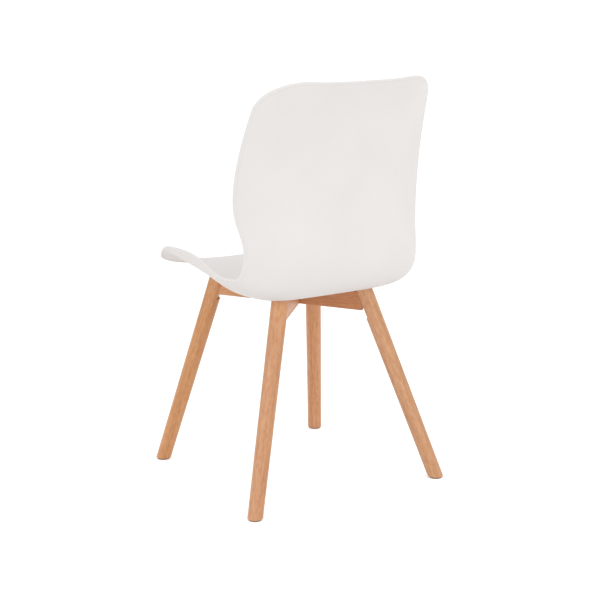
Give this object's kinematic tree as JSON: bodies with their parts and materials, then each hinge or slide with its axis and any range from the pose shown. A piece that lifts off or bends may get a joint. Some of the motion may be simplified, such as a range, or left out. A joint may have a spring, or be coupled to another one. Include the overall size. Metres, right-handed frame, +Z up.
{
  "type": "shell chair",
  "caption": "Armless dining chair: one moulded plastic shell for seat and back, carried by crossed beech rails and splayed round tapered legs.",
  "frame": {"origin": "on the floor under the middle of the chair's box", "axes": "+Z up; the sitter faces -Y; the sitter's left is +X; the chair is symmetric about x = 0"},
  "size_m": [0.4748, 0.4833, 0.843],
  "materials": {
    "shell_plastic": "fine satin texture, warm off-white",
    "beech": "clear satin lacquer on natural beech",
    "beech_dowel": "raw beech",
    "zinc_steel": "bright zinc plate",
    "brass": "turned brass",
    "pad_rubber": "black rubber",
    "glide_plastic": "dark brown nylon"
  },
  "bodies": {
    "root": {"seat_shell": "shell_plastic", "shell_inserts": "brass", "shell_screws": "zinc_steel", "shell_washers": "zinc_steel", "shell_pad_front_left": "pad_rubber", "shell_pad_front_right": "pad_rubber", "shell_pad_rear_left": "pad_rubber", "shell_pad_rear_right": "pad_rubber", "cross_rail_front_left": "beech", "cross_rail_front_right": "beech", "leg_front_left": "beech", "leg_front_right": "beech", "leg_rear_left": "beech", "leg_rear_right": "beech", "joint_dowels": "beech_dowel", "lap_screw": "zinc_steel", "glide_front_left": "glide_plastic", "glide_front_right": "glide_plastic", "glide_rear_left": "glide_plastic", "glide_rear_right": "glide_plastic", "glide_nails": "zinc_steel"}
  },
  "joints": []
}
